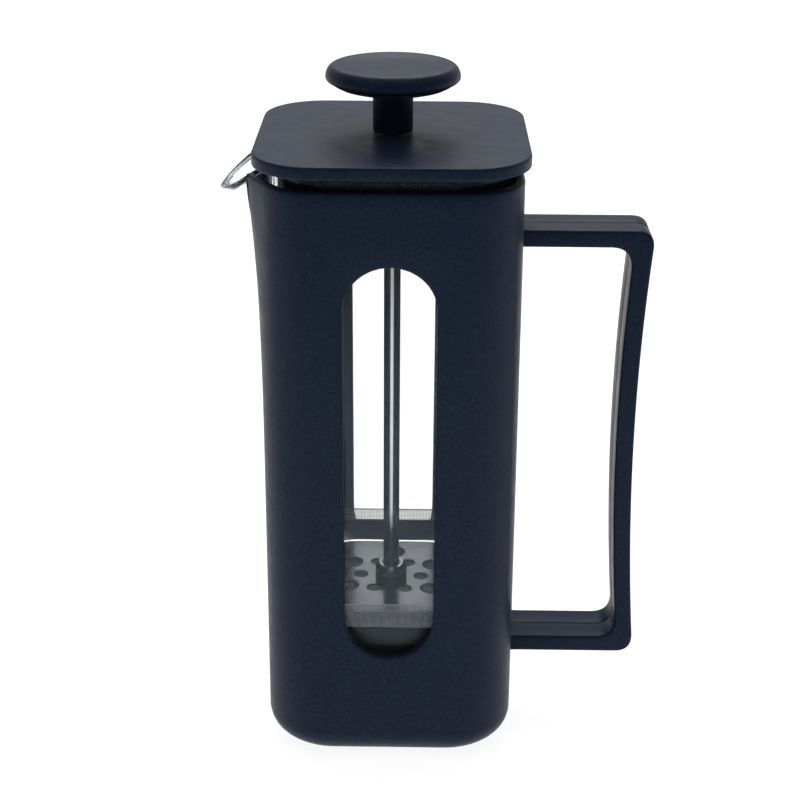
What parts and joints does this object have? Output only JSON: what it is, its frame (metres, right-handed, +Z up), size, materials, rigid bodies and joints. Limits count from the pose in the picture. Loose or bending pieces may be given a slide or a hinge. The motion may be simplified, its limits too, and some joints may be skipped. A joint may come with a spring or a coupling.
{
  "type": "french press",
  "caption": "Square French press: glass beaker with a pouring lip in a windowed plastic holder with strap handle, plug-in lid, and a plunger with a perforated square filter.",
  "frame": {"origin": "middle of the underside of the holder, on the plunger's axis", "axes": "+Z up along the plunger, +X towards the handle, -X towards the pouring lip, -Y the window side seen from the front"},
  "size_m": [0.1324, 0.0806, 0.2177],
  "materials": {
    "navy_plastic": "fine satin grain, very dark navy moulded plastic",
    "borosilicate_glass": "clear, fire polished",
    "silicone": "soft matte dark grey",
    "screw_steel": "plain zinc plated",
    "pressed_steel": "bright pressed stainless sheet",
    "turned_steel": "bright turned stainless",
    "woven_steel": "fine woven stainless wire",
    "brass": "plain machined",
    "nylon": "plain moulded"
  },
  "bodies": {
    "holder": {"holder_shell": "navy_plastic", "handle": "navy_plastic", "handle_screw_upper": "screw_steel", "handle_screw_lower": "screw_steel", "base_cushion": "silicone"},
    "beaker": {"glass_beaker": "borosilicate_glass"},
    "lid": {"lid_cover": "navy_plastic", "lid_skirt": "navy_plastic", "lid_screw_front": "screw_steel", "lid_screw_back": "screw_steel", "rod_bushing": "nylon"},
    "filter": {"filter_tray": "pressed_steel", "filter_mesh": "woven_steel", "support_plate": "pressed_steel", "clamp_nut": "turned_steel", "rod_hub": "turned_steel"},
    "rod": {"plunger_rod": "turned_steel", "knob_insert": "brass", "knob_body": "navy_plastic", "knob_cap": "navy_plastic"}
  },
  "joints": [
    {"name": "beaker_lift", "type": "slide", "parent": "holder", "child": "beaker", "axis": [0, 0, 1], "range_m": [0, 0.19]},
    {"name": "lid_lift", "type": "slide", "parent": "beaker", "child": "lid", "axis": [0, 0, 1], "range_m": [0, 0.16]},
    {"name": "plunger_slide", "type": "slide", "parent": "lid", "child": "filter", "axis": [0, 0, 1], "range_m": [0, 0.124]},
    {"name": "rod_turn", "type": "hinge", "parent": "filter", "child": "rod", "pos_m": [0, 0, 0.05], "axis": [0, 0, 1], "range_deg": [0, 1080]}
  ]
}
